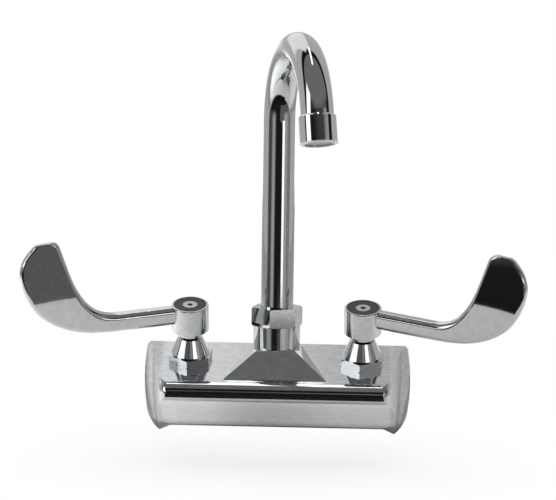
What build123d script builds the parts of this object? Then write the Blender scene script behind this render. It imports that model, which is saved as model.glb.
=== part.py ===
from build123d import *
import math
import os

# Wall-mounted hand sink faucet, sizes in millimetres.
# X runs along the wall, the user stands at -Y and +Z is up.
# The origin lies in the wall plane, midway between the two inlet shanks.

# Inlets, which also fasten the faucet to the wall
inlet_centres = 101.6
shank_diameter = 20.95
shank_length = 40.0
shank_bore = 11.0
wall_thickness = 9.0
mounting_washer_diameter = 31.0
mounting_washer_thickness = 1.6
mounting_nut_flats = 30.0
mounting_nut_height = 6.5
mounting_nut_chamfer = 1.2
thread_relief_distance = 1.4
thread_relief_width = 1.5
thread_relief_depth = 0.8
shank_end_chamfer = 1.0

# Flange against the wall
flange_thickness = 2.0
flange_rim_gap = 0.6
flange_top = 26.3
flange_half_width = 79.6
flange_widest_height = 3.0
flange_top_inset = 1.4
flange_low_inset = 1.3
flange_low_height = -13.5
flange_corner_radius = 4.0
ear_curve_inset = 3.9
ear_curve_height = -21.6
ear_inset = 9.1
ear_bottom = -27.8
ear_root_inset = 15.6
lower_edge = -24.75
lower_edge_fillet = 5.0
gasket_margin = 6.5
gasket_thickness = 3.0
gasket_hole_clearance = 0.4

# Body casting
deck_tilt = 17.5
deck_rear_height = 26.0
deck_length = 50.0
deck_front_radius = 3.6
roll_height = 12.0
roll_set_back = 0.5
roll_bottom_radius = 2.6
body_corner_radius = 6.0
front_inset = 12.8
side_taper = 0.165
side_lean_share = 0.5
side_bulge = 0.1
cove_radius = 5.2
cove_middle_share = 0.85
cove_low_share = 0.05
cove_stations = (0, 0.4, 0.7, 0.9, 1.0)
flare_clearance = 8.0
apron_sag = 1.6
apron_foot_reach = 1.0
apron_foot_height = 0.6

# Wedge and boss that carry the spout
spout_axis_depth = 22.0
boss_diameter = 27.4
boss_shoulder_height = 40.5
boss_thread_diameter = 23.3
boss_thread_top = 47.0
wedge_top_height = 27.5
wedge_top_half_width = 11.4
wedge_foot_half_width = 30.2
wedge_foot_length = 47.9
wedge_ledge = 0.6
wedge_edge_radius = 0.7

# Valves
valve_slope_distance = 22.7
valve_nut_flats = 23.6
valve_nut_height = 4.7
valve_nut_thread_diameter = 19.0
valve_nut_thread_length = 5.5
valve_nut_chamfer = 0.5
valve_nut_turn = 24.0
pocket_depth = 12.0
pocket_bore = 17.8
pocket_thread_relief = 1.0
seat_port_bore = 7.0
seat_port_depth = 7.0
cross_way_height = 10.0
cross_way_set_back = 1.5
cross_way_bore = 6.0
inlet_way_bore = 9.4
inlet_way_depth = 21.0

# Cartridges
barrel_diameter = 15.0
barrel_top = 12.6
cartridge_foot_diameter = 17.4
seal_diameter = 14.0
seal_height = 2.2
disc_diameter = 13.4
disc_height = 2.0
disc_port_bore = 5.0
disc_port_offset = 3.4
disc_film = 0.02
stem_diameter = 8.0
stem_head_height = 2.4
stem_groove_depth = 1.2
stem_seal_section = 1.6
stem_seal_height = 9.0
cartridge_window_width = 7.0
cartridge_window_height = 3.0

# Conical skirts over the cartridges
skirt_foot_diameter = 22.6
skirt_foot_height = 0.8
skirt_top_diameter = 14.4
skirt_height = 10.5
skirt_wall = 1.3
skirt_top_wall = 3.5

# Handles
hub_diameter = 21.8
hub_top = 36.1
hub_height = 19.7
hub_cone_height = 2.6
hub_neck_diameter = 12.8
hub_neck_height = 1.2
hub_rim_radius = 0.5
hub_web = 2.4
stem_reach_in_hub = 9.5
ring_recess_diameter = 19.4
ring_thickness = 1.6
ring_sink = 0.25
screw_head_diameter = 8.6
screw_shank_diameter = 4.0
screw_shank_length = 9.0
screw_socket = 3.0
screw_socket_depth = 1.8
arm_drop = 0.4
arm_depth = 10.7
arm_thickness = 8.8
arm_front_lean = 0.8
arm_flat_share = 0.42
arm_section_count = 5
arm_section_spacing = 4.0
blade_reach = 99.8
paddle_length = 55.8
paddle_height = 48.4
blade_belly_inset = 27.8
blade_belly_lift = 3.7
blade_outer_inset = 11.2
blade_outer_lift = 14.1
blade_side_inset = 2.8
blade_side_lift = 27.6
blade_widest_drop = 19.4
blade_shoulder_inset = 2.6
blade_shoulder_drop = 9.1
blade_crown_inset = 8.3
blade_crown_drop = 2.5
blade_tip_inset = 16.3
blade_inner_inset = 24.5
blade_inner_drop = 4.5
blade_waist_inset = 29.2
blade_waist_drop = 20.3
blade_neck_inset = 40.2
blade_neck_lift = 7.1
blade_lean = 5.1
blade_thickness = 5.0
blade_thin_share = 0.7
blade_front_lean = 0.12
blade_front_share = 0.35
blade_edge_radius = 3.2
blade_edge_share = 0.46
blade_end_share = 0.42
blade_section_count = 26
blade_last_share = 0.985
left_handle_turn = 17.0
right_handle_turn = 21.0

# Spout
tube_diameter = 19.05
tube_wall = 1.0
spout_spread = 88.9
spout_bend_height = 162.4
spout_bend_angle = 163.6
spout_straight_end = 10.2
spout_turn = 15.9
spout_nut_flats = 26.8
spout_nut_top = 51.6
spout_nut_chamfer = 0.8
spout_nut_turn = 16.4
spigot_diameter = 18.0
spigot_bottom = 25.0
spigot_bore = 12.0
spigot_collar_diameter = 22.5
spigot_collar_height = 1.8
spigot_neck_length = 9.0
spigot_seal_section = 1.78
spigot_seal_heights = (29.5, 37.0)

# Aerator
aerator_diameter = 21.6
aerator_height = 16.4
aerator_top_chamfer = 1.1
aerator_bottom_chamfer = 0.7
aerator_grip_length = 8.0
aerator_cavity_diameter = 18.6
aerator_mouth_diameter = 16.6
aerator_lip = 1.0
aerator_washer_thickness = 1.5
aerator_washer_bore = 13.0
aerator_hole_diameter = 1.3
aerator_hole_ring_radii = (2.6, 5.8)
aerator_holes_per_ring = 4

# Clearances
running_gap = 0.05
thread_gap = 0.05
seat_gap = 0.10
shadow_gap = 0.40

# How far a cutting shape runs past what it cuts, and how near two places are taken as one
overcut = 1.0
same_place = 0.01

# Places worked out from the sizes above
tilt = math.radians(deck_tilt)
valve_y = -valve_slope_distance * math.cos(tilt)
valve_z = deck_rear_height - valve_slope_distance * math.sin(tilt)
flange_top_half_width = flange_half_width - flange_top_inset
lower_edge_half_width = flange_half_width - ear_root_inset
front_half_width = flange_half_width - front_inset
flange_back = -flange_rim_gap
flange_front = flange_back - flange_thickness
front_y = -deck_length * math.cos(tilt)
front_z = deck_rear_height - deck_length * math.sin(tilt)
spout_y = -spout_axis_depth
sides = {"left": -1, "right": 1}
handle_turns = {"left": left_handle_turn, "right": -right_handle_turn}


def deck_height(y):
    return deck_rear_height + y * math.tan(tilt)


def valve_place(side):
    # on the deck, with the local Z along the valve's axis and the local Y up the slope
    return Pos(side * inlet_centres / 2, valve_y, valve_z) * Rot(deck_tilt, 0, 0)


def cylinder(diameter, low, high):
    from_below = (Align.CENTER, Align.CENTER, Align.MIN)
    return Pos(0, 0, low) * Cylinder(diameter / 2, high - low, align=from_below)


def tube(outer, inner, low, high):
    return cylinder(outer, low, high) - cylinder(inner, low - overcut, high + overcut)


def cone(low_diameter, high_diameter, low, high):
    from_below = (Align.CENTER, Align.CENTER, Align.MIN)
    return Pos(0, 0, low) * Cone(low_diameter / 2, high_diameter / 2, high - low, align=from_below)


def hexagon(flats, low, high, turn=0.0):
    face = Rot(0, 0, turn) * RegularPolygon(flats / 2, 6, major_radius=False)
    return extrude(Pos(0, 0, low) * face, high - low)


def chamfered_hexagon(flats, low, high, chamfer_size, turn=0.0):
    # a nut's corners are turned off by a cone at each end
    corner_diameter = flats / math.cos(math.pi / 6)
    body = hexagon(flats, low, high, turn)
    lathe = cylinder(corner_diameter, low, high)
    rims = lathe.edges().filter_by(GeomType.CIRCLE)
    lathe = chamfer(rims, chamfer_size)
    return body & lathe


def along_y(diameter, start, end):
    # a round bar along Y, from the first place to the second
    bar = Cylinder(diameter / 2, end - start, align=(Align.CENTER, Align.CENTER, Align.MIN))
    return Pos(0, start, 0) * Rot(-90, 0, 0) * bar


def flange_outline():
    top_inner = flange_top_half_width - flange_corner_radius
    low = (flange_half_width - flange_low_inset, flange_low_height)
    ear = (flange_half_width - ear_inset, ear_bottom)
    corner_middle = flange_corner_radius * (1 - math.sqrt(0.5))
    right = Line((0, flange_top), (top_inner, flange_top))
    right += ThreePointArc(
        (top_inner, flange_top),
        (flange_top_half_width - corner_middle, flange_top - corner_middle),
        (flange_top_half_width, flange_top - flange_corner_radius),
    )
    right += ThreePointArc(
        (flange_top_half_width, flange_top - flange_corner_radius),
        (flange_half_width, flange_widest_height),
        low,
    )
    right += ThreePointArc(low, (flange_half_width - ear_curve_inset, ear_curve_height), ear)
    right += Line(ear, (lower_edge_half_width, lower_edge))
    right += Line((lower_edge_half_width, lower_edge), (0, lower_edge))
    left = mirror(right, about=Plane.YZ)
    return make_face(right.edges() + left.edges())


def flange_solid(start, end):
    # the outline is drawn in X and Z, and runs from the first place along Y to the second
    outline = flange_outline()
    ear_roots = outline.vertices().filter_by(lambda v: abs(abs(v.X) - lower_edge_half_width) < same_place)
    outline = fillet(ear_roots, lower_edge_fillet)
    return extrude(Plane.XZ.offset(-end) * outline, end - start)


def side_half_width(y):
    # a straight taper, and what a cove of a quarter circle adds where it meets the flange
    taper = front_half_width + side_taper * (y - front_y)
    into_cove = max(0.0, y - (flange_front - cove_radius)) / cove_radius
    cove = cove_radius * (1 - math.sqrt(max(0.0, 1 - into_cove**2)))
    return taper, cove


def body_section(y):
    taper, cove = side_half_width(y)
    lean = side_lean_share * (taper - front_half_width)
    high = min(taper + cove, flange_top_half_width + flange_corner_radius)
    low = taper - lean + cove * cove_low_share
    middle = taper + cove * cove_middle_share + side_bulge
    outline = Line((-high, flange_top), (high, flange_top))
    outline += ThreePointArc((high, flange_top), (middle, 0), (low, ear_bottom))
    outline += Line((low, ear_bottom), (-low, ear_bottom))
    outline += ThreePointArc((-low, ear_bottom), (-middle, 0), (-high, flange_top))
    return Plane.XZ.offset(-y) * make_face(outline.edges())


def flared_block():
    cove_start = flange_front - cove_radius
    straight = loft([body_section(front_y), body_section(cove_start)], ruled=True)
    cove = loft([body_section(cove_start + cove_radius * share) for share in cove_stations])
    return straight + cove


def plan_solid():
    # seen from above: rounded front corners, with sides that stay just clear of the flare
    beside = front_half_width + seat_gap
    cove_start = flange_front - cove_radius
    opening_start = cove_start - flare_clearance
    beyond = flange_half_width + cove_radius
    right = [
        (beside, front_y),
        (beside + side_taper * (opening_start - front_y), opening_start),
        (beyond, cove_start),
        (beyond, 0),
    ]
    left = [(-x, y) for x, y in reversed(right)]
    face = make_face(Polyline(*right, *left, close=True))
    corners = face.vertices().filter_by(lambda v: abs(v.Y - front_y) < same_place)
    face = fillet(corners, body_corner_radius)
    return extrude(Pos(0, 0, ear_bottom - overcut) * face, flange_top - ear_bottom + 2 * overcut)


def side_profile():
    # deck, rolled front edge, hollow apron and the foot of the flange
    deck_edge = (front_y, front_z)
    roll_bottom = (front_y + roll_set_back, front_z - roll_height)
    apron_end = (flange_front - apron_foot_reach, lower_edge + apron_foot_height)
    middle = (
        (roll_bottom[0] + apron_end[0]) / 2,
        (roll_bottom[1] + apron_end[1]) / 2 + apron_sag,
    )
    outline = Line((flange_back, deck_height(flange_back)), deck_edge)
    outline += Line(deck_edge, roll_bottom)
    outline += ThreePointArc(roll_bottom, middle, apron_end)
    outline += Line(apron_end, (flange_front, ear_bottom))
    outline += Line((flange_front, ear_bottom), (flange_back, ear_bottom))
    outline += Line((flange_back, ear_bottom), (flange_back, deck_height(flange_back)))
    face = make_face(outline.edges())
    for place, radius in ((deck_edge, deck_front_radius), (roll_bottom, roll_bottom_radius)):
        corner = face.vertices().filter_by(lambda v: math.dist((v.X, v.Y), place) < same_place)
        face = fillet(corner, radius)
    return face


def side_profile_solid():
    return extrude(Plane.YZ * side_profile(), flange_half_width + cove_radius, both=True)


def wedge():
    # a gable with its steep front over the deck's front edge
    foot_y = -wedge_foot_length * math.cos(tilt)
    foot_z = deck_rear_height - wedge_foot_length * math.sin(tilt)
    top_y = spout_y - boss_diameter / 2 - wedge_ledge
    rear_y = flange_front - overcut
    across = Polyline(
        (-wedge_foot_half_width, foot_z),
        (-wedge_top_half_width, wedge_top_height),
        (wedge_top_half_width, wedge_top_height),
        (wedge_foot_half_width, foot_z),
        close=True,
    )
    along = Polyline(
        (foot_y, foot_z),
        (top_y, wedge_top_height),
        (spout_y + boss_diameter / 2, wedge_top_height),
        (rear_y, deck_height(rear_y)),
        (rear_y, foot_z),
        close=True,
    )
    front = extrude(Plane.XZ * make_face(across), overcut - foot_y)
    side = extrude(Plane.YZ * make_face(along), wedge_foot_half_width + overcut, both=True)
    gable = front & side
    above_foot = gable.edges().filter_by(lambda edge: edge.center().Z > foot_z + same_place)
    sharp = above_foot.filter_by(lambda edge: edge.center().Y < spout_y)
    return fillet(sharp, wedge_edge_radius)


def inlet_shank():
    # threaded inlet, with a relief between the mounting nut and the supply end
    shank = along_y(shank_diameter, flange_front - overcut, shank_length)
    end = shank.edges().filter_by(GeomType.CIRCLE).sort_by(Axis.Y)[-1]
    shank = chamfer(end, shank_end_chamfer)
    nut_end = wall_thickness + mounting_washer_thickness + mounting_nut_height
    relief_start = nut_end + thread_relief_distance
    relief = along_y(shank_diameter + overcut, relief_start, relief_start + thread_relief_width)
    relief -= along_y(shank_diameter - 2 * thread_relief_depth, 0, shank_length)
    return shank - relief


def valve_pocket():
    pocket_thread = valve_nut_thread_diameter + 2 * thread_gap
    pocket = cylinder(pocket_thread, -valve_nut_thread_length - pocket_thread_relief, valve_nut_height)
    pocket += cylinder(pocket_bore, -pocket_depth, 0)
    pocket += cylinder(seat_port_bore, -pocket_depth - seat_port_depth, 0)
    return pocket


def faucet_body():
    block = flared_block() & side_profile_solid()
    block = block & plan_solid() & flange_solid(front_y - overcut, flange_back)
    plate = flange_solid(flange_front, flange_back) & side_profile_solid()
    casting = block + plate + wedge()
    boss = cylinder(boss_diameter, 0, boss_shoulder_height)
    boss += cylinder(boss_thread_diameter, 0, boss_thread_top)
    casting += Pos(0, spout_y, 0) * boss
    for side in sides.values():
        casting += Pos(side * inlet_centres / 2, 0, 0) * inlet_shank()
    # recess for the gasket, round the shanks
    recess = offset(flange_outline(), -gasket_margin, kind=Kind.INTERSECTION)
    recess = extrude(Plane.XZ * recess, gasket_thickness)
    for side in sides.values():
        stub = along_y(shank_diameter, -gasket_thickness - overcut, overcut)
        recess -= Pos(side * inlet_centres / 2, 0, 0) * stub
    casting -= recess
    # waterways and valve pockets
    for side in sides.values():
        place = Pos(side * inlet_centres / 2, 0, 0)
        casting -= place * along_y(shank_bore, flange_front, shank_length + overcut)
        casting -= place * along_y(inlet_way_bore, -inlet_way_depth, 0)
        casting -= valve_place(side) * valve_pocket()
    cross = Cylinder(cross_way_bore / 2, inlet_centres - pocket_bore / 2)
    casting -= Pos(0, valve_y + cross_way_set_back, cross_way_height) * Rot(0, 90, 0) * cross
    bore = cylinder(spigot_diameter + 2 * running_gap, spigot_bottom - seat_gap, boss_thread_top + overcut)
    bore += cylinder(spigot_bore, cross_way_height, spigot_bottom)
    casting -= Pos(0, spout_y, 0) * bore
    return casting


def wall_gasket():
    pad = offset(flange_outline(), -gasket_margin - seat_gap, kind=Kind.INTERSECTION)
    pad = extrude(Plane.XZ * pad, gasket_thickness)
    for side in sides.values():
        hole = along_y(shank_diameter + 2 * gasket_hole_clearance, -gasket_thickness - overcut, overcut)
        pad -= Pos(side * inlet_centres / 2, 0, 0) * hole
    return pad


def mounting_washer(side):
    ring = along_y(mounting_washer_diameter, wall_thickness, wall_thickness + mounting_washer_thickness)
    ring -= along_y(shank_diameter + 2 * gasket_hole_clearance, 0, shank_length)
    return Pos(side * inlet_centres / 2, 0, 0) * ring


def mounting_nut(side):
    start = wall_thickness + mounting_washer_thickness
    nut = chamfered_hexagon(mounting_nut_flats, 0, mounting_nut_height, mounting_nut_chamfer)
    nut -= cylinder(shank_diameter + 2 * thread_gap, -overcut, mounting_nut_height + overcut)
    return Pos(side * inlet_centres / 2, start, 0) * Rot(-90, 0, 0) * nut


def valve_nut(side):
    # hexagon on the deck, with a threaded collar that clamps the cartridge in its pocket
    nut = chamfered_hexagon(valve_nut_flats, 0, valve_nut_height, valve_nut_chamfer, valve_nut_turn)
    nut += cylinder(valve_nut_thread_diameter, -valve_nut_thread_length, valve_nut_height / 2)
    bore = barrel_diameter + 2 * thread_gap
    nut -= cylinder(bore, -valve_nut_thread_length - overcut, valve_nut_height + overcut)
    return valve_place(side) * nut


def valve_skirt(side):
    low = valve_nut_height
    top = low + skirt_height
    foot = low + skirt_foot_height
    outside = cylinder(skirt_foot_diameter, low, foot)
    outside += cone(skirt_foot_diameter, skirt_top_diameter, foot, top)
    hollow_top = top - skirt_top_wall
    slope = (skirt_foot_diameter - skirt_top_diameter) / (skirt_height - skirt_foot_height)
    inner_low = skirt_foot_diameter - 2 * skirt_wall
    inner_high = max(barrel_diameter + 2 * shadow_gap, inner_low - slope * (hollow_top - low))
    inside = cone(inner_low, inner_high, low, hollow_top)
    inside += cylinder(barrel_diameter + 2 * thread_gap, low, barrel_top + seat_gap)
    inside += cylinder(stem_diameter + 2 * shadow_gap, low, top + overcut)
    return valve_place(side) * (outside - inside)


def cartridge_body(side):
    # stepped brass barrel that holds the stem, the discs and the seal
    foot_top = -valve_nut_thread_length - seat_gap
    shell = cylinder(cartridge_foot_diameter, -pocket_depth + seal_height / 2, foot_top)
    shell += cylinder(barrel_diameter, foot_top - overcut, barrel_top)
    chamber_top = -pocket_depth + seal_height + 2 * disc_height + disc_film + stem_head_height + seat_gap
    shell -= cylinder(seal_diameter + 2 * thread_gap, -pocket_depth - overcut, chamber_top)
    shell -= cylinder(stem_diameter + 2 * running_gap, -pocket_depth, barrel_top + overcut)
    middle = -pocket_depth + seal_height + disc_height + disc_height / 2
    window = Box(cartridge_foot_diameter + overcut, cartridge_window_width, cartridge_window_height)
    shell -= Pos(0, 0, middle) * window
    return valve_place(side) * shell


def seat_seal(side):
    return valve_place(side) * tube(seal_diameter, seat_port_bore, -pocket_depth, -pocket_depth + seal_height)


def ceramic_disc(low, turn):
    disc = cylinder(disc_diameter, low, low + disc_height)
    for angle in (0, 180):
        port = cylinder(disc_port_bore, low - overcut, low + disc_height + overcut)
        port = Pos(disc_port_offset, 0, 0) * port
        disc -= Rot(0, 0, turn + angle) * port
    return disc


def fixed_disc(side):
    return valve_place(side) * ceramic_disc(-pocket_depth + seal_height, 0)


def moving_disc(side):
    # closed: its ports lie a quarter turn from those of the fixed disc, on a film of grease
    return valve_place(side) * ceramic_disc(-pocket_depth + seal_height + disc_height + disc_film, 90)


def valve_stem(side):
    head_low = -pocket_depth + seal_height + 2 * disc_height + disc_film
    top = hub_top - hub_height + stem_reach_in_hub
    stem = cylinder(disc_diameter, head_low, head_low + stem_head_height)
    stem += cylinder(stem_diameter, head_low, top)
    groove_end = stem_seal_height + stem_seal_section + seat_gap
    stem -= tube(stem_diameter + overcut, stem_diameter - 2 * stem_groove_depth, stem_seal_height, groove_end)
    stem -= cylinder(screw_shank_diameter + 2 * thread_gap, top - screw_shank_length, top + overcut)
    return valve_place(side) * stem


def ring_seal(inner, outer, middle):
    # an O-ring, drawn with the round section that just fills its groove
    section = (outer - inner) / 4
    return Pos(0, 0, middle) * Torus((inner + outer) / 4, section)


def stem_seal(side):
    outer = stem_diameter
    inner = stem_diameter - 2 * stem_groove_depth
    middle = stem_seal_height + (stem_seal_section + seat_gap) / 2
    return valve_place(side) * ring_seal(inner, outer, middle)


def blade_edges():
    # the lower and outer edge, and the upper and inner one, from the end of the arm to the tip,
    # with lengths from the hub's axis and heights from the top of the hub
    arm_length = blade_reach - paddle_length
    arm_bottom = -arm_drop - arm_depth
    tip = (blade_reach - blade_tip_inset, paddle_height)
    outer = Spline(
        (arm_length, arm_bottom),
        (blade_reach - blade_belly_inset, arm_bottom + blade_belly_lift),
        (blade_reach - blade_outer_inset, arm_bottom + blade_outer_lift),
        (blade_reach - blade_side_inset, arm_bottom + blade_side_lift),
        (blade_reach, paddle_height - blade_widest_drop),
        (blade_reach - blade_shoulder_inset, paddle_height - blade_shoulder_drop),
        (blade_reach - blade_crown_inset, paddle_height - blade_crown_drop),
        tip,
        tangents=((1, 0), (-1, 0)),
    )
    inner = Spline(
        (arm_length, -arm_drop),
        (blade_reach - blade_neck_inset, blade_neck_lift - arm_drop),
        (blade_reach - blade_waist_inset, paddle_height - blade_waist_drop),
        (blade_reach - blade_inner_inset, paddle_height - blade_inner_drop),
        tip,
        tangents=((1, 0), (1, 0)),
    )
    return outer, inner


def blade_front(height):
    # the front face leans back above the middle of the arm
    arm_middle = -arm_drop - arm_depth / 2
    rise = max(0.0, height - arm_middle) / (paddle_height - arm_middle)
    return blade_lean * rise**2 - arm_thickness / 2


def blade_section(low, high, thickness, front_lean):
    # flat low on its front, curving back above that, and rounded at all four corners
    foot = Vector(low[0], blade_front(low[1]), low[1])
    along = Vector(high[0], blade_front(high[1]), high[1]) - foot
    span = along.length
    bend = arm_flat_share * span
    sides = Polyline((bend, 0), (0, 0), (0, thickness), (span, thickness), (span, front_lean))
    front = TangentArc((bend, 0), (span, front_lean), tangent=(1, 0))
    face = make_face(sides.edges() + front.edges())
    corners = face.vertices().filter_by(lambda v: min(v.X, span - v.X) < same_place)
    radius = min(blade_edge_radius, blade_edge_share * thickness, blade_end_share * span)
    plane = Plane(origin=foot, x_dir=along, z_dir=along.cross(Vector(0, 1, 0)))
    return plane * fillet(corners, radius)


def arm_section(x):
    return blade_section((x, -arm_drop - arm_depth), (x, -arm_drop), arm_thickness, arm_front_lean)


def paddle_section(low, high, share):
    # between a point of each edge, at a share of the way from the arm to the tip,
    # with a smooth start and end to the thinning
    thinning = min(1.0, share / blade_thin_share)
    thinning *= thinning * (3 - 2 * thinning)
    thickness = arm_thickness + (blade_thickness - arm_thickness) * thinning
    # the last sections lie in the tip's rounded edge
    edge_radius = blade_edge_share * blade_thickness
    inside_edge = min(edge_radius, paddle_height - (low.Y + high.Y) / 2)
    thickness -= 2 * (edge_radius - math.sqrt(edge_radius**2 - (edge_radius - inside_edge) ** 2))
    fading = max(0.0, 1 - share / blade_front_share) ** 2
    front_lean = blade_front_lean + (arm_front_lean - blade_front_lean) * fading
    return blade_section((low.X, low.Y), (high.X, high.Y), thickness, front_lean)


def wrist_blade():
    # a straight arm that runs on into a lofted paddle, with closer sections toward the tip
    loft_start = blade_reach - paddle_length - arm_section_count * arm_section_spacing
    sections = [arm_section(loft_start + step * arm_section_spacing) for step in range(arm_section_count)]
    outer, inner = blade_edges()
    for step in range(blade_section_count):
        share = blade_last_share * math.sin(math.pi / 2 * step / (blade_section_count - 1))
        sections.append(paddle_section(outer @ share, inner @ share, share))
    arm = extrude(sections[0], loft_start)
    return Pos(0, 0, hub_top) * (arm + loft(sections))


def handle_hub():
    low = hub_top - hub_height
    neck_top = low + hub_neck_height
    cone_top = neck_top + hub_cone_height
    hub = cylinder(hub_neck_diameter, low, cone_top)
    hub += cone(hub_neck_diameter, hub_diameter, neck_top, cone_top)
    barrel = cylinder(hub_diameter, cone_top, hub_top)
    rim = barrel.edges().filter_by(GeomType.CIRCLE).sort_by(Axis.Z)[-1]
    return hub + fillet(rim, hub_rim_radius)


def handle_place(name):
    return valve_place(sides[name]) * Rot(0, 0, handle_turns[name])


def handle(name):
    blade = wrist_blade()
    grip = handle_hub() + (blade if name == "right" else mirror(blade, about=Plane.YZ))
    stem_top = hub_top - hub_height + stem_reach_in_hub
    grip -= cylinder(stem_diameter + 2 * running_gap, hub_top - hub_height - overcut, stem_top + seat_gap)
    grip -= cylinder(screw_shank_diameter + 2 * thread_gap, stem_top, hub_top)
    grip -= cylinder(screw_head_diameter + 2 * thread_gap, stem_top + hub_web, hub_top)
    grip -= cylinder(ring_recess_diameter, hub_top - ring_sink - ring_thickness, hub_top + overcut)
    return handle_place(name) * grip


def index_ring(name):
    top = hub_top - ring_sink
    outer = ring_recess_diameter - 2 * thread_gap
    inner = screw_head_diameter + 2 * seat_gap
    return handle_place(name) * tube(outer, inner, top - ring_thickness, top)


def handle_screw(name):
    seat = hub_top - hub_height + stem_reach_in_hub + hub_web
    head_top = hub_top - ring_sink + seat_gap
    screw = cylinder(screw_head_diameter, seat, head_top)
    screw += cylinder(screw_shank_diameter, seat - screw_shank_length, seat)
    screw -= hexagon(screw_socket, head_top - screw_socket_depth, head_top + overcut)
    return handle_place(name) * screw


def spout_place():
    # the spout's own frame has its reach along X
    return Pos(0, spout_y, 0) * Rot(0, 0, spout_turn - 90)


def spout_path():
    # straight riser, gooseneck arch, and a short straight end for the aerator
    radius = spout_spread / 2
    start = (0, boss_thread_top + seat_gap + spigot_collar_height)
    riser = Line(start, (0, spout_bend_height))
    arch = CenterArc((radius, spout_bend_height), radius, 180, -spout_bend_angle)
    lean = math.radians(180 - spout_bend_angle)
    direction = (math.sin(lean), -math.cos(lean))
    bend_end = arch @ 1
    outlet = (bend_end.X + direction[0] * spout_straight_end, bend_end.Y + direction[1] * spout_straight_end)
    run = Line((bend_end.X, bend_end.Y), outlet)
    return Plane.XZ * Wire([riser.edge(), arch.edge(), run.edge()]), outlet


def spout_tube():
    path, outlet = spout_path()
    section_plane = Plane(path @ 0, z_dir=(0, 0, 1))
    outside = sweep(section_plane * Circle(tube_diameter / 2), path=path)
    bore = sweep(section_plane * Circle(tube_diameter / 2 - tube_wall), path=path)
    return spout_place() * (outside - bore)


def spout_spigot():
    # turned end of the spout: seal grooves below, collar under the nut, neck inside the tube
    collar_low = boss_thread_top + seat_gap
    collar_top = collar_low + spigot_collar_height
    body = cylinder(spigot_diameter, spigot_bottom, collar_low)
    body += cylinder(spigot_collar_diameter, collar_low, collar_top)
    neck_top = collar_top + spigot_neck_length
    body += cylinder(tube_diameter - 2 * tube_wall - 2 * thread_gap, collar_top, neck_top)
    body -= cylinder(spigot_bore, spigot_bottom - overcut, neck_top + overcut)
    groove_root = spigot_diameter - 2 * spigot_seal_section
    groove_half = (spigot_seal_section + seat_gap) / 2
    for height in spigot_seal_heights:
        body -= tube(spigot_diameter + overcut, groove_root, height - groove_half, height + groove_half)
    return Pos(0, spout_y, 0) * body


def spigot_seals():
    inner = spigot_diameter - 2 * spigot_seal_section
    rings = [ring_seal(inner, spigot_diameter, height) for height in spigot_seal_heights]
    return Pos(0, spout_y, 0) * Compound(rings)


def spout_nut():
    low = boss_shoulder_height + seat_gap
    collar_top = boss_thread_top + seat_gap + spigot_collar_height
    nut = chamfered_hexagon(spout_nut_flats, low, spout_nut_top, spout_nut_chamfer, spout_nut_turn)
    nut -= cylinder(boss_thread_diameter + 2 * thread_gap, low - overcut, collar_top + 2 * seat_gap)
    nut -= cylinder(tube_diameter + 2 * running_gap, low, spout_nut_top + overcut)
    return Pos(0, spout_y, 0) * nut


def outlet_place():
    # local Z points up the stream, from the outlet's end plane
    path, outlet = spout_path()
    return spout_place() * Pos(outlet[0], 0, outlet[1]) * Rot(0, spout_bend_angle - 180, 0)


def aerator_below_tube():
    return aerator_height - aerator_grip_length


def aerator_housing():
    drop = aerator_below_tube()
    shell = cylinder(aerator_diameter, -drop, aerator_grip_length)
    rims = shell.edges().filter_by(GeomType.CIRCLE).sort_by(Axis.Z)
    shell = chamfer(rims[-1], aerator_top_chamfer)
    rims = shell.edges().filter_by(GeomType.CIRCLE).sort_by(Axis.Z)
    shell = chamfer(rims[0], aerator_bottom_chamfer)
    shell -= cylinder(tube_diameter + 2 * thread_gap, 0, aerator_grip_length + overcut)
    shell -= cylinder(aerator_cavity_diameter, -drop + aerator_lip, overcut)
    shell -= cylinder(aerator_mouth_diameter, -drop - overcut, 0)
    return outlet_place() * shell


def aerator_washer():
    outer = aerator_cavity_diameter - 2 * thread_gap
    return outlet_place() * tube(outer, aerator_washer_bore, -aerator_washer_thickness, 0)


def aerator_insert():
    # perforated plastic core that rests on the housing's lip
    low = -aerator_below_tube() + aerator_lip
    core = cylinder(aerator_cavity_diameter - 2 * thread_gap, low, -aerator_washer_thickness)
    for ring, radius in enumerate(aerator_hole_ring_radii, start=1):
        count = aerator_holes_per_ring * ring
        for step in range(count):
            hole = Pos(radius, 0, 0) * cylinder(aerator_hole_diameter, low - overcut, 0)
            core -= Rot(0, 0, step * 360 / count) * hole
    return outlet_place() * core


def write(name, shape):
    shape.label = name
    export_step(shape, os.path.join("parts", name + ".step"))


def main():
    os.makedirs("parts", exist_ok=True)
    write("faucet_body", faucet_body())
    write("wall_gasket", wall_gasket())
    write("spout_tube", spout_tube())
    write("spout_spigot", spout_spigot())
    write("spout_o_rings", spigot_seals())
    write("spout_nut", spout_nut())
    write("aerator_housing", aerator_housing())
    write("aerator_washer", aerator_washer())
    write("aerator_insert", aerator_insert())
    for name, side in sides.items():
        write("mounting_washer_" + name, mounting_washer(side))
        write("mounting_nut_" + name, mounting_nut(side))
        write("valve_nut_" + name, valve_nut(side))
        write("valve_skirt_" + name, valve_skirt(side))
        write("cartridge_body_" + name, cartridge_body(side))
        write("seat_seal_" + name, seat_seal(side))
        write("fixed_disc_" + name, fixed_disc(side))
        write("moving_disc_" + name, moving_disc(side))
        write("valve_stem_" + name, valve_stem(side))
        write("stem_o_ring_" + name, stem_seal(side))
        write("handle_" + name, handle(name))
        write("index_ring_" + name, index_ring(name))
        write("handle_screw_" + name, handle_screw(name))


main()
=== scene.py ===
import math

import bpy
from bpy.props import FloatProperty, FloatVectorProperty, PointerProperty
from mathutils import Matrix, Vector

bl_info = {
    "name": "Wall-mounted hand sink faucet",
    "version": (1, 0, 0),
    "blender": (4, 5, 0),
    "location": "View3D > Sidebar > Faucet",
    "description": "Finishes and studio of a wall-mounted hand sink faucet",
    "category": "Object",
}

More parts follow.
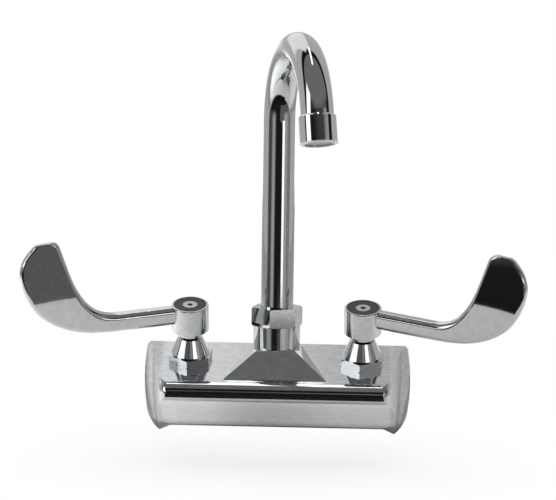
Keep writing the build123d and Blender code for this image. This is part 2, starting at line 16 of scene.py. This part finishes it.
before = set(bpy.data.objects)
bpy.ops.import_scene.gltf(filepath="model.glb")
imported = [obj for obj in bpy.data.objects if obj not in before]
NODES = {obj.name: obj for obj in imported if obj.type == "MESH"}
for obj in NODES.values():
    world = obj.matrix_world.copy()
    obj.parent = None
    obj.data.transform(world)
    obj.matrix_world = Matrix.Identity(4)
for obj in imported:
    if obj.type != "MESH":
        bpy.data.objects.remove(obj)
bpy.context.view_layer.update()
MM = 0.001
SIDES = ("left", "right")

# Marks on all the chrome: clouds of dried water and wipe marks are some millimetres wide.
# The clouds' pattern is stretched past 0 and 1, so that clear places lie between them, and the
# wipe marks' range is in shares of the chrome's roughness.
# Real hairlines are about 0.05 mm wide, and are drawn coarser so that they can show.
CLOUD_SIZE = 3.5 * MM
CLOUD_RANGE = (-0.6, 1.6)
WIPE_SIZE = 6 * MM
WIPE_RANGE = (0.8, 1.4)
SCRATCH_SIZE = 0.6 * MM
SCRATCH_SQUEEZE = (0.08, 0.3, 1)
SCRATCH_DEPTH = 0.0004 * MM

# The buffed crown of the casting's front edge: its top, how far it falls and how steeply, and
# where in depth it begins and is full
CROWN_TOP = 12 * MM
CROWN_HEIGHT = 9.9 * MM
CROWN_STEEPNESS = 2.4
CROWN_FRONT = (-36 * MM, -41 * MM)
# The roughness of the casting's broad faces, in patches, and of its ends, and how far from the
# middle the ends begin and are full
FACE_PATCH = 2.5 * MM
FACE_ROUGHNESS = (0.07, 0.15)
SATIN_ROUGHNESS = 0.42
SATIN_ENDS = (65.5 * MM, 70 * MM)
# Ripples that the buffing wheel leaves on the casting
RIPPLE_SIZE = 1.6 * MM
RIPPLE_DEPTH = 0.006 * MM
# Painted shade: between which heights the casting's foot is darkened, standing for the shadow it reflects
# from beneath, and how bright the foot is
PAINTED_SHADE_FOOT = (-26 * MM, -19 * MM)
PAINTED_SHADE_SHARE = 0.36

# Camera: azimuth, elevation and roll in degrees, place and near clipping in metres, and the
# sensor's width in millimetres
CAMERA_ANGLES = (2.084, 7.992, 0.809)
CAMERA_PLACE = (0.0594, -1.6529, 0.3144)
CAMERA_CLIP = 0.01
SENSOR_WIDTH = 36

# Table, and how far the faucet's shadow on it reaches and how bright it stays
TABLE_HALF_WIDTH = 0.9
TABLE_BACK = 1.2
TABLE_ROUGHNESS = 0.6
SHADOW_REACH = 0.1
SHADOW_TONE = 0.78

SOFT_BOX_SIZE = 0.4
SOFT_BOXES = {  # place in metres and power in watts
    "soft box on the left": ((-0.42, 0.08, 0.27), 2.4),
    "soft box on the right": ((0.42, 0.08, 0.27), 1.0),
}

# The studio is a pale sweep behind the faucet and a dim room in front, with a black gap between.
# The gap lies about a plane with this normal, and its place and width are parts of a direction.
GAP_NORMAL = (0, 1, -0.55)
GAP_SHIFT = 0.25
GAP_HALF_WIDTH = 0.11
GAP_SOFTNESS = 0.03
SWEEP_BRIGHTNESS = 0.52
GAP_BRIGHTNESS = 0.008
# The room grows brighter between two elevations
ROOM_BRIGHTNESS = (0.014, 0.19)
ROOM_RISE = (22, 36)

# Studio cards, each over those before it: azimuth from the front towards the right, elevation,
# half width, half height and softness of the edges, all in degrees, and brightness
CARDS = {
    "bright sweep low": (176, -10, 30, 13, 7, 1.35),
    "sweep on the left": (-152, 40, 26, 26, 4, 1.0),
    "shade on the right": (130, 0, 10, 40, 8, 0.5),
    "low wall on the right": (38, -22, 34, 12.8, 0.8, 0.13),
    "wall on the right": (54, 15, 14, 10, 5, 0.45),
    "wide strip on the right": (37, 0, 17, 4, 2, 1.3),
    "grey beside the strip": (66, -4, 22, 14, 6, 0.24),
    "wall beside the strip": (50, -6, 11, 12, 5, 0.42),
    "dim wall on the left": (-58, -8, 20, 7, 5, 0.08),
    "glow on the left": (-38, -8, 11, 7, 7, 0.42),
    "doorway": (-8, 3, 20, 3, 2, 0.13),
    "lit wall in the doorway": (9, 3, 9, 3, 3, 0.30),
    "strip on the right": (31, -2, 11, 7.1, 0.6, 1.7),
    "low window on the left": (-48, 1.5, 14, 4, 2, 1.5),
    "window on the left": (-63, 16, 13, 17, 3, 1.8),
}

# A tube lamp under the ceiling, from front to back: middle and half width across and along, and
# the height above which it lies, all as parts of a direction
TUBE_LAMP_ACROSS = (-0.04, 0.055)
TUBE_LAMP_ALONG = (0.17, 0.27)
TUBE_LAMP_SOFTNESS = 0.01
TUBE_LAMP_HEIGHT = (0.4, 0.6)
TUBE_LAMP_BRIGHTNESS = 2.2


def linear(hex_colour):
    """An sRGB hex value as a linear colour with full alpha."""
    parts = [int(hex_colour[i:i + 2], 16) / 255 for i in (1, 3, 5)]
    return tuple(c / 12.92 if c <= 0.04045 else ((c + 0.055) / 1.055) ** 2.4 for c in parts) + (1.0,)


def colour_property(name, hex_colour, description):
    """A colour that the user can change, given as an sRGB hex value."""
    return FloatVectorProperty(
        name=name, description=description, subtype="COLOR", size=4, min=0, max=1,
        default=linear(hex_colour),
    )


class FaucetFinishes(bpy.types.PropertyGroup):
    chrome: colour_property("Chrome", "#D8DADC", "Colour of the polished chrome plate")
    brass: colour_property("Brass", "#C8A25C", "Colour of the machined brass inside")
    # Painted shade: the stems' brass is coloured dark to stand in for the shade in the gap under the
    # handle hubs
    shade_dark: colour_property("Shaded brass", "#2E271C", "Colour of the stems under their shading")
    steel: colour_property("Steel", "#B9BBBD", "Colour of the screws and washers")
    index_ring: colour_property("Index ring", "#141415", "Colour of the rings in the handle hubs")
    rubber: colour_property("Rubber", "#1B1B1C", "Colour of the gasket and the seals")
    ceramic: colour_property("Ceramic", "#EFEEE8", "Colour of the valve discs")
    plastic: colour_property("Plastic", "#C9C9C4", "Colour of the aerator core")
    chrome_roughness: FloatProperty(
        name="Chrome roughness", description="Blur of the reflections in the chrome",
        default=0.045, min=0, max=1, subtype="FACTOR",
    )
    casting_wave: FloatProperty(
        name="Casting wave", description="Width of the soft waves left by hand buffing",
        default=14 * MM, min=MM, max=0.1, unit="LENGTH",
    )


class FaucetStudio(bpy.types.PropertyGroup):
    table: colour_property("Table", "#F0F0EE", "Colour of the pale table under the faucet")
    table_depth: FloatProperty(
        name="Table depth", description="How far the table top lies below the inlets",
        default=0.043, min=0.03, max=1, unit="LENGTH",
    )
    table_front: FloatProperty(
        name="Table front", description="How far the table reaches in front of the wall plane",
        default=0.191, min=0.1, max=2, unit="LENGTH",
    )
    camera_lens: FloatProperty(
        name="Lens", description="Focal length on a 36 mm wide sensor",
        default=181.29, min=10, max=400, unit="CAMERA",
    )


def add_node(tree, kind, inputs=None, **settings):
    """Adds a node. An input is given by its name or number, as a value, as the socket that feeds
    it, or as the node whose first output does."""
    node = tree.nodes.new(kind)
    for name, value in settings.items():
        setattr(node, name, value)
    for name, value in (inputs or {}).items():
        if isinstance(value, bpy.types.Node):
            value = value.outputs[0]
        if isinstance(value, bpy.types.NodeSocket):
            tree.links.new(value, node.inputs[name])
        else:
            node.inputs[name].default_value = value
    return node


def new_material(name):
    """An empty material with its tree and its principled shader."""
    material = bpy.data.materials.new(name)
    material.use_nodes = True
    tree = material.node_tree
    tree.nodes.clear()
    shader = add_node(tree, "ShaderNodeBsdfPrincipled")
    add_node(tree, "ShaderNodeOutputMaterial", {"Surface": shader})
    return material, tree, shader


def grain(tree, size, detail=2, squeeze=(1, 1, 1), roughness=0.5):
    """A random pattern from 0 to 1 whose grains are about as wide as the given size in metres,
    and longer along an axis that is squeezed."""
    place = add_node(tree, "ShaderNodeTexCoord").outputs["Object"]
    squeezed = add_node(tree, "ShaderNodeVectorMath", {0: place, 1: squeeze}, operation="MULTIPLY")
    values = {"Vector": squeezed, "Scale": 1 / size, "Detail": detail, "Roughness": roughness}
    return add_node(tree, "ShaderNodeTexNoise", values)


def roughen(tree, shader, pattern, lowest, highest):
    """Lets a pattern vary the shader's roughness between two values."""
    values = {"Value": pattern, "To Min": lowest, "To Max": highest}
    varied = add_node(tree, "ShaderNodeMapRange", values)
    tree.links.new(varied.outputs[0], shader.inputs["Roughness"])


def press_relief(tree, shader, height, distance, strength=1.0):
    """Bends the shader's normal by a height, on top of any relief that it already has."""
    values = {"Height": height, "Strength": strength, "Distance": distance}
    if shader.inputs["Normal"].links:
        values["Normal"] = shader.inputs["Normal"].links[0].from_socket
    relief = add_node(tree, "ShaderNodeBump", values)
    tree.links.new(relief.outputs["Normal"], shader.inputs["Normal"])


def soft_edge(tree, value, start, end):
    """0 at the start of a range and 1 at its end, smooth at both. The end may be the lower one."""
    return add_node(
        tree, "ShaderNodeMapRange", {"Value": value, "From Min": start, "From Max": end},
        interpolation_type="SMOOTHSTEP",
    )


def soft_window(tree, value, half_width, softness):
    """1 around zero, falling smoothly to 0 at the half width on both sides."""
    far = add_node(tree, "ShaderNodeMath", {0: value}, operation="ABSOLUTE")
    return soft_edge(tree, far, half_width + softness, half_width - softness)


def dimmed(colour, share):
    """A colour at a share of its brightness."""
    return [share * part for part in colour[:3]] + [1.0]


def chrome_plate(name, finishes, wave, wave_height, clouded, squeeze=(1, 1, 1)):
    """Bright electroplated chrome: mirror reflections that wander slightly, faint wipe marks and
    hairlines, and small clouds of dried water, under which it is dimmed to the given share."""
    material, tree, shader = new_material(name)
    shader.inputs["Metallic"].default_value = 1.0
    clouds = grain(tree, CLOUD_SIZE, detail=5, squeeze=squeeze, roughness=0.7)
    clear = add_node(
        tree, "ShaderNodeMapRange", {"Value": clouds, "To Min": CLOUD_RANGE[0], "To Max": CLOUD_RANGE[1]}
    )
    colours = {0: clear, 6: dimmed(finishes.chrome, clouded), 7: finishes.chrome}
    plate = add_node(tree, "ShaderNodeMix", colours, data_type="RGBA")
    tree.links.new(plate.outputs[2], shader.inputs["Base Color"])
    lowest, highest = (share * finishes.chrome_roughness for share in WIPE_RANGE)
    roughen(tree, shader, grain(tree, WIPE_SIZE, detail=4), lowest, highest)
    press_relief(tree, shader, grain(tree, wave), wave_height)
    press_relief(tree, shader, grain(tree, SCRATCH_SIZE, squeeze=SCRATCH_SQUEEZE), SCRATCH_DEPTH)
    return material, tree, shader


def buffed_cast_chrome(finishes):
    """Chrome on a hand-buffed brass casting: broad soft waves bend the reflections, the front edge
    is buffed to a bright soft crown, the broad faces are a little less sharp, the ends stay satin
    where the wheel can't reach, and painted shade darkens the foot, for the shadow it reflects from
    beneath."""
    material, tree, shader = chrome_plate(
        "buffed cast brass chrome plated", finishes,
        wave=finishes.casting_wave, wave_height=0.02 * MM, clouded=0.74, squeeze=(0.6, 1, 1),
    )
    place = add_node(tree, "ShaderNodeTexCoord").outputs["Object"]
    x, y, z = add_node(tree, "ShaderNodeSeparateXYZ", {0: place}).outputs
    # The crown's profile: level at both ends, and steepest three quarters of the way up
    above = add_node(tree, "ShaderNodeMath", {0: z, 1: CROWN_TOP - CROWN_HEIGHT}, operation="SUBTRACT")
    share = add_node(
        tree, "ShaderNodeMath", {0: above, 1: CROWN_HEIGHT}, operation="DIVIDE", use_clamp=True
    )
    terms = []
    for power in (7, 3):
        term = add_node(tree, "ShaderNodeMath", {0: share, 1: power}, operation="POWER")
        terms.append(add_node(tree, "ShaderNodeMath", {0: term, 1: 1 / power}, operation="MULTIPLY"))
    fall = add_node(tree, "ShaderNodeMath", {0: terms[0], 1: terms[1]}, operation="SUBTRACT")
    front = soft_edge(tree, y, *CROWN_FRONT)
    press_relief(tree, shader, fall, CROWN_STEEPNESS * CROWN_HEIGHT, strength=front)
    press_relief(tree, shader, grain(tree, RIPPLE_SIZE), RIPPLE_DEPTH)
    # Sharp at the crown, less so on the faces, satin at the ends
    polished = shader.inputs["Roughness"].links[0].from_socket
    patches = grain(tree, FACE_PATCH, detail=3)
    faces = add_node(
        tree, "ShaderNodeMapRange",
        {"Value": patches, "To Min": FACE_ROUGHNESS[0], "To Max": FACE_ROUGHNESS[1]},
    )
    middle = add_node(tree, "ShaderNodeMix", {0: front, 2: faces, 3: polished}, data_type="FLOAT")
    far = add_node(tree, "ShaderNodeMath", {0: x}, operation="ABSOLUTE")
    end = soft_edge(tree, far, *SATIN_ENDS)
    rough = add_node(tree, "ShaderNodeMix", {0: end, 2: middle, 3: SATIN_ROUGHNESS}, data_type="FLOAT")
    tree.links.new(rough.outputs[0], shader.inputs["Roughness"])
    # Painted shade: the colour darkens towards the foot's edge, standing for the shadow it would reflect
    # from beneath
    shade_free = soft_edge(tree, z, *PAINTED_SHADE_FOOT)
    plate = shader.inputs["Base Color"].links[0].from_socket
    colours = {0: shade_free, 6: dimmed(finishes.chrome, PAINTED_SHADE_SHARE), 7: plate}
    plate = add_node(tree, "ShaderNodeMix", colours, data_type="RGBA")
    tree.links.new(plate.outputs[2], shader.inputs["Base Color"])
    return material


def turned_chrome(finishes):
    """Chrome on turned brass: truer than the casting, with hardly any wave."""
    return chrome_plate(
        "turned brass chrome plated", finishes, wave=5 * MM, wave_height=0.003 * MM, clouded=0.9
    )[0]


def drawn_tube_chrome(finishes):
    """Chrome on drawn and bent tube: long clean streaks with a little ripple."""
    return chrome_plate(
        "drawn brass tube chrome plated", finishes, wave=9 * MM, wave_height=0.008 * MM, clouded=0.88
    )[0]


def cast_handle_chrome(finishes):
    """Chrome on a die cast handle: wide soft waves, and more dried water where hands push it."""
    return chrome_plate(
        "die cast handle chrome plated", finishes, wave=18 * MM, wave_height=0.01 * MM, clouded=0.8
    )[0]


def machined_metal(name, colour, roughness):
    """Plain turned metal: fine tool marks dull it. They are drawn about twice as wide as real."""
    material, tree, shader = new_material(name)
    shader.inputs["Base Color"].default_value = colour
    shader.inputs["Metallic"].default_value = 1.0
    marks = grain(tree, 0.4 * MM, detail=3)
    roughen(tree, shader, marks, lowest=0.8 * roughness, highest=1.3 * roughness)
    press_relief(tree, shader, marks, 0.01 * MM, strength=0.5)
    return material


def matt_moulding(name, colour, roughness, grain_size, grain_height):
    """Rubber or moulded plastic: matt, with a fine even grain."""
    material, tree, shader = new_material(name)
    shader.inputs["Base Color"].default_value = colour
    shader.inputs["IOR"].default_value = 1.5
    grains = grain(tree, grain_size)
    roughen(tree, shader, grains, lowest=0.85 * roughness, highest=1.1 * roughness)
    press_relief(tree, shader, grains, grain_height, strength=0.6)
    return material


def lapped_ceramic(finishes):
    """Lapped alumina ceramic: dense, white and nearly mirror smooth."""
    material, tree, shader = new_material("alumina ceramic lapped")
    shader.inputs["Base Color"].default_value = finishes.ceramic
    shader.inputs["IOR"].default_value = 1.77
    roughen(tree, shader, grain(tree, 0.5 * MM), lowest=0.12, highest=0.2)
    return material


def dress(node, material):
    """Gives a CAD node its finish."""
    piece = NODES[node]
    piece.data.materials.clear()
    piece.data.materials.append(material)


def dress_pair(names, material):
    """Gives the left and the right one of each named piece their finish."""
    for name in names:
        for side in SIDES:
            dress(f"{name}_{side}", material)


def place_camera(context, studio):
    """The camera, where the photograph was taken from."""
    data = bpy.data.cameras.new("camera")
    camera = bpy.data.objects.new("camera", data)
    context.scene.collection.objects.link(camera)
    azimuth, elevation, roll = (math.radians(angle) for angle in CAMERA_ANGLES)
    level = Vector((math.cos(azimuth), math.sin(azimuth), 0))
    forward = Vector((-math.sin(azimuth), math.cos(azimuth), 0))
    ahead = forward * math.cos(elevation) - Vector((0, 0, math.sin(elevation)))
    up = level.cross(ahead)
    right = level * math.cos(roll) + up * math.sin(roll)
    turned_up = up * math.cos(roll) - level * math.sin(roll)
    turn = Matrix((right, turned_up, -ahead)).transposed().to_4x4()
    camera.matrix_world = Matrix.Translation(CAMERA_PLACE) @ turn
    data.lens = studio.camera_lens
    data.sensor_width = SENSOR_WIDTH
    data.clip_start = CAMERA_CLIP
    context.scene.camera = camera


def lay_table(context, studio):
    """A pale laminate table top. To the camera it is plain white, like the photograph's background,
    apart from the faucet's soft shadow."""
    mesh = bpy.data.meshes.new("table")
    sides = ((-1, -studio.table_front), (1, -studio.table_front), (1, TABLE_BACK), (-1, TABLE_BACK))
    corners = [(side * TABLE_HALF_WIDTH, y, -studio.table_depth) for side, y in sides]
    mesh.from_pydata(corners, [], [(0, 1, 2, 3)])
    table = bpy.data.objects.new("table", mesh)
    context.scene.collection.objects.link(table)
    material, tree, shader = new_material("matt white laminate")
    shader.inputs["Base Color"].default_value = studio.table
    shader.inputs["Roughness"].default_value = TABLE_ROUGHNESS
    unshaded = add_node(tree, "ShaderNodeAmbientOcclusion", {"Distance": SHADOW_REACH}).outputs["AO"]
    tone = add_node(tree, "ShaderNodeMapRange", {"Value": unshaded, "To Min": SHADOW_TONE, "To Max": 1.0})
    white = add_node(tree, "ShaderNodeEmission", {"Color": (1, 1, 1, 1), "Strength": tone})
    seen = add_node(tree, "ShaderNodeLightPath").outputs["Is Camera Ray"]
    look = add_node(tree, "ShaderNodeMixShader", {0: seen, 1: shader, 2: white})
    output = next(node for node in tree.nodes if node.type == "OUTPUT_MATERIAL")
    tree.links.new(look.outputs["Shader"], output.inputs["Surface"])
    mesh.materials.append(material)


def hang_card(tree, direction, elevation, picture, card):
    """Lays one soft-edged card over the picture of the studio."""
    azimuth, height, half_width, half_height, softness, brightness = card
    turned = add_node(
        tree, "ShaderNodeVectorRotate", {"Vector": direction, "Angle": -math.radians(azimuth)},
        rotation_type="Z_AXIS",
    )
    x, y, _ = add_node(tree, "ShaderNodeSeparateXYZ", {0: turned}).outputs
    ahead = add_node(tree, "ShaderNodeMath", {0: y, 1: -1.0}, operation="MULTIPLY")
    angle = add_node(tree, "ShaderNodeMath", {0: x, 1: ahead}, operation="ARCTAN2")
    beside = add_node(tree, "ShaderNodeMath", {0: angle}, operation="DEGREES")
    above = add_node(tree, "ShaderNodeMath", {0: elevation, 1: height}, operation="SUBTRACT")
    across = soft_window(tree, beside, half_width, softness)
    upright = soft_window(tree, above, half_height, softness)
    card_shape = add_node(tree, "ShaderNodeMath", {0: across, 1: upright}, operation="MULTIPLY")
    return add_node(tree, "ShaderNodeMix", {0: card_shape, 2: picture, 3: brightness}, data_type="FLOAT")


def hang_tube_lamp(tree, direction, picture):
    """Lays the tube lamp over the picture of the studio."""
    x, y, z = add_node(tree, "ShaderNodeSeparateXYZ", {0: direction}).outputs
    shape = soft_edge(tree, z, *TUBE_LAMP_HEIGHT)
    for part, (middle, half_width) in ((x, TUBE_LAMP_ACROSS), (y, TUBE_LAMP_ALONG)):
        away = add_node(tree, "ShaderNodeMath", {0: part, 1: middle}, operation="SUBTRACT")
        window = soft_window(tree, away, half_width, TUBE_LAMP_SOFTNESS)
        shape = add_node(tree, "ShaderNodeMath", {0: shape, 1: window}, operation="MULTIPLY")
    lamp = {0: shape, 2: picture, 3: TUBE_LAMP_BRIGHTNESS}
    return add_node(tree, "ShaderNodeMix", lamp, data_type="FLOAT")


def light_studio(context):
    """The studio that the chrome reflects, drawn by direction, behind a background that is plain
    white to the camera."""
    world = bpy.data.worlds.new("studio")
    world.use_nodes = True
    tree = world.node_tree
    tree.nodes.clear()
    direction = add_node(tree, "ShaderNodeTexCoord").outputs["Generated"]
    height = add_node(tree, "ShaderNodeSeparateXYZ", {0: direction}).outputs["Z"]
    angle = add_node(tree, "ShaderNodeMath", {0: height}, operation="ARCSINE")
    elevation = add_node(tree, "ShaderNodeMath", {0: angle}, operation="DEGREES")
    side = add_node(tree, "ShaderNodeVectorMath", {0: direction, 1: GAP_NORMAL}, operation="DOT_PRODUCT")
    side = add_node(tree, "ShaderNodeMath", {0: side.outputs["Value"], 1: GAP_SHIFT}, operation="ADD")
    room = add_node(
        tree, "ShaderNodeMapRange",
        {"Value": elevation, "From Min": ROOM_RISE[0], "From Max": ROOM_RISE[1],
         "To Min": ROOM_BRIGHTNESS[0], "To Max": ROOM_BRIGHTNESS[1]},
        interpolation_type="SMOOTHSTEP",
    )
    behind = soft_edge(tree, side, GAP_HALF_WIDTH - GAP_SOFTNESS, GAP_HALF_WIDTH + GAP_SOFTNESS)
    in_front = soft_edge(tree, side, GAP_SOFTNESS - GAP_HALF_WIDTH, -GAP_SOFTNESS - GAP_HALF_WIDTH)
    sweep = {0: behind, 2: GAP_BRIGHTNESS, 3: SWEEP_BRIGHTNESS}
    picture = add_node(tree, "ShaderNodeMix", sweep, data_type="FLOAT")
    picture = add_node(tree, "ShaderNodeMix", {0: in_front, 2: picture, 3: room}, data_type="FLOAT")
    for card in CARDS.values():
        picture = hang_card(tree, direction, elevation, picture, card)
    picture = hang_tube_lamp(tree, direction, picture)
    reflected = add_node(tree, "ShaderNodeBackground", {"Color": picture, "Strength": 1.0})
    white = add_node(tree, "ShaderNodeBackground", {"Color": (1, 1, 1, 1), "Strength": 1.0})
    seen = add_node(tree, "ShaderNodeLightPath").outputs["Is Camera Ray"]
    look = add_node(tree, "ShaderNodeMixShader", {0: seen, 1: reflected, 2: white})
    add_node(tree, "ShaderNodeOutputWorld", {"Surface": look})
    context.scene.world = world
    context.scene.view_settings.view_transform = "Standard"


def hang_soft_boxes(context):
    """Large soft boxes above both sides, which light the matt pieces and the table."""
    for name, (place, power) in SOFT_BOXES.items():
        data = bpy.data.lights.new(name, "AREA")
        data.size = SOFT_BOX_SIZE
        data.energy = power
        lamp = bpy.data.objects.new(name, data)
        lamp.location = place
        lamp.rotation_euler = Vector(place).to_track_quat("Z", "Y").to_euler()
        lamp.visible_camera = False
        lamp.visible_glossy = False
        context.scene.collection.objects.link(lamp)


class FaucetPiece:
    """What the operators here share."""
    bl_options = {"REGISTER", "UNDO"}


class FAUCET_OT_stage(FaucetPiece, bpy.types.Operator):
    """Camera, table and studio light"""
    bl_idname = "faucet.stage"
    bl_label = "Stage"

    def execute(self, context):
        studio = context.scene.faucet_studio
        place_camera(context, studio)
        lay_table(context, studio)
        light_studio(context)
        hang_soft_boxes(context)
        return {"FINISHED"}


class FAUCET_OT_casting(FaucetPiece, bpy.types.Operator):
    """The cast body with its flange, deck and shanks"""
    bl_idname = "faucet.casting"
    bl_label = "Casting"

    def execute(self, context):
        finishes = context.scene.faucet_finishes
        dress("faucet_body", buffed_cast_chrome(finishes))
        return {"FINISHED"}


class FAUCET_OT_wall_fixing(FaucetPiece, bpy.types.Operator):
    """Gasket, washers and nuts behind the flange"""
    bl_idname = "faucet.wall_fixing"
    bl_label = "Wall fixing"

    def execute(self, context):
        finishes = context.scene.faucet_finishes
        rubber = matt_moulding(
            "EPDM rubber moulded", finishes.rubber,
            roughness=0.7, grain_size=0.6 * MM, grain_height=0.02 * MM,
        )
        steel = machined_metal("steel zinc plated", finishes.steel, roughness=0.35)
        brass = machined_metal("brass machined nut", finishes.brass, roughness=0.28)
        dress("wall_gasket", rubber)
        dress_pair(["mounting_washer"], steel)
        dress_pair(["mounting_nut"], brass)
        return {"FINISHED"}


class FAUCET_OT_valves(FaucetPiece, bpy.types.Operator):
    """Valve nuts, skirts and the cartridges inside"""
    bl_idname = "faucet.valves"
    bl_label = "Valves"

    def execute(self, context):
        finishes = context.scene.faucet_finishes
        brass = machined_metal("brass machined", finishes.brass, roughness=0.25)
        # Painted shade: the stems are darkened brass, standing in for the shade in the gap under the hubs
        shade_dark = machined_metal("brass machined greased", finishes.shade_dark, roughness=0.5)
        rubber = matt_moulding(
            "nitrile rubber moulded", finishes.rubber,
            roughness=0.6, grain_size=0.4 * MM, grain_height=0.01 * MM,
        )
        dress_pair(["valve_nut", "valve_skirt"], turned_chrome(finishes))
        dress_pair(["cartridge_body"], brass)
        dress_pair(["valve_stem"], shade_dark)
        dress_pair(["fixed_disc", "moving_disc"], lapped_ceramic(finishes))
        dress_pair(["seat_seal", "stem_o_ring"], rubber)
        return {"FINISHED"}


class FAUCET_OT_handles(FaucetPiece, bpy.types.Operator):
    """Wrist-blade handles with their index rings and screws"""
    bl_idname = "faucet.handles"
    bl_label = "Handles"

    def execute(self, context):
        finishes = context.scene.faucet_finishes
        ring = matt_moulding(
            "ABS moulded dark grey", finishes.index_ring,
            roughness=0.42, grain_size=0.5 * MM, grain_height=0.012 * MM,
        )
        steel = machined_metal("stainless steel turned", finishes.steel, roughness=0.25)
        dress_pair(["handle"], cast_handle_chrome(finishes))
        dress_pair(["index_ring"], ring)
        dress_pair(["handle_screw"], steel)
        return {"FINISHED"}


class FAUCET_OT_spout(FaucetPiece, bpy.types.Operator):
    """Gooseneck tube, its nut, spigot and seals"""
    bl_idname = "faucet.spout"
    bl_label = "Spout"

    def execute(self, context):
        finishes = context.scene.faucet_finishes
        brass = machined_metal("brass machined spigot", finishes.brass, roughness=0.22)
        rubber = matt_moulding(
            "nitrile O-ring moulded", finishes.rubber,
            roughness=0.5, grain_size=0.4 * MM, grain_height=0.01 * MM,
        )
        dress("spout_tube", drawn_tube_chrome(finishes))
        dress("spout_nut", turned_chrome(finishes))
        dress("spout_spigot", brass)
        dress("spout_o_rings", rubber)
        return {"FINISHED"}


class FAUCET_OT_aerator(FaucetPiece, bpy.types.Operator):
    """Aerator housing with its core and washer"""
    bl_idname = "faucet.aerator"
    bl_label = "Aerator"

    def execute(self, context):
        finishes = context.scene.faucet_finishes
        core = matt_moulding(
            "acetal moulded", finishes.plastic,
            roughness=0.4, grain_size=0.5 * MM, grain_height=0.008 * MM,
        )
        rubber = matt_moulding(
            "nitrile washer cut", finishes.rubber,
            roughness=0.65, grain_size=0.4 * MM, grain_height=0.01 * MM,
        )
        dress("aerator_housing", turned_chrome(finishes))
        dress("aerator_insert", core)
        dress("aerator_washer", rubber)
        return {"FINISHED"}


class FAUCET_PT_panel(bpy.types.Panel):
    bl_label = "Faucet"
    bl_idname = "FAUCET_PT_panel"
    bl_space_type = "VIEW_3D"
    bl_region_type = "UI"
    bl_category = "Faucet"

    def draw(self, context):
        layout = self.layout
        for group in (context.scene.faucet_finishes, context.scene.faucet_studio):
            for name in group.__annotations__:
                layout.prop(group, name)
        for operator in OPERATORS:
            layout.operator(operator.bl_idname)


OPERATORS = (
    FAUCET_OT_stage,
    FAUCET_OT_casting,
    FAUCET_OT_wall_fixing,
    FAUCET_OT_valves,
    FAUCET_OT_handles,
    FAUCET_OT_spout,
    FAUCET_OT_aerator,
)
CLASSES = (FaucetFinishes, FaucetStudio, FAUCET_PT_panel) + OPERATORS


def register():
    for cls in CLASSES:
        bpy.utils.register_class(cls)
    bpy.types.Scene.faucet_finishes = PointerProperty(type=FaucetFinishes)
    bpy.types.Scene.faucet_studio = PointerProperty(type=FaucetStudio)


def unregister():
    del bpy.types.Scene.faucet_studio
    del bpy.types.Scene.faucet_finishes
    for cls in reversed(CLASSES):
        bpy.utils.unregister_class(cls)


def main():
    register()
    bpy.ops.faucet.stage()
    bpy.ops.faucet.casting()
    bpy.ops.faucet.wall_fixing()
    bpy.ops.faucet.valves()
    bpy.ops.faucet.handles()
    bpy.ops.faucet.spout()
    bpy.ops.faucet.aerator()


if __name__ == "__main__":
    main()
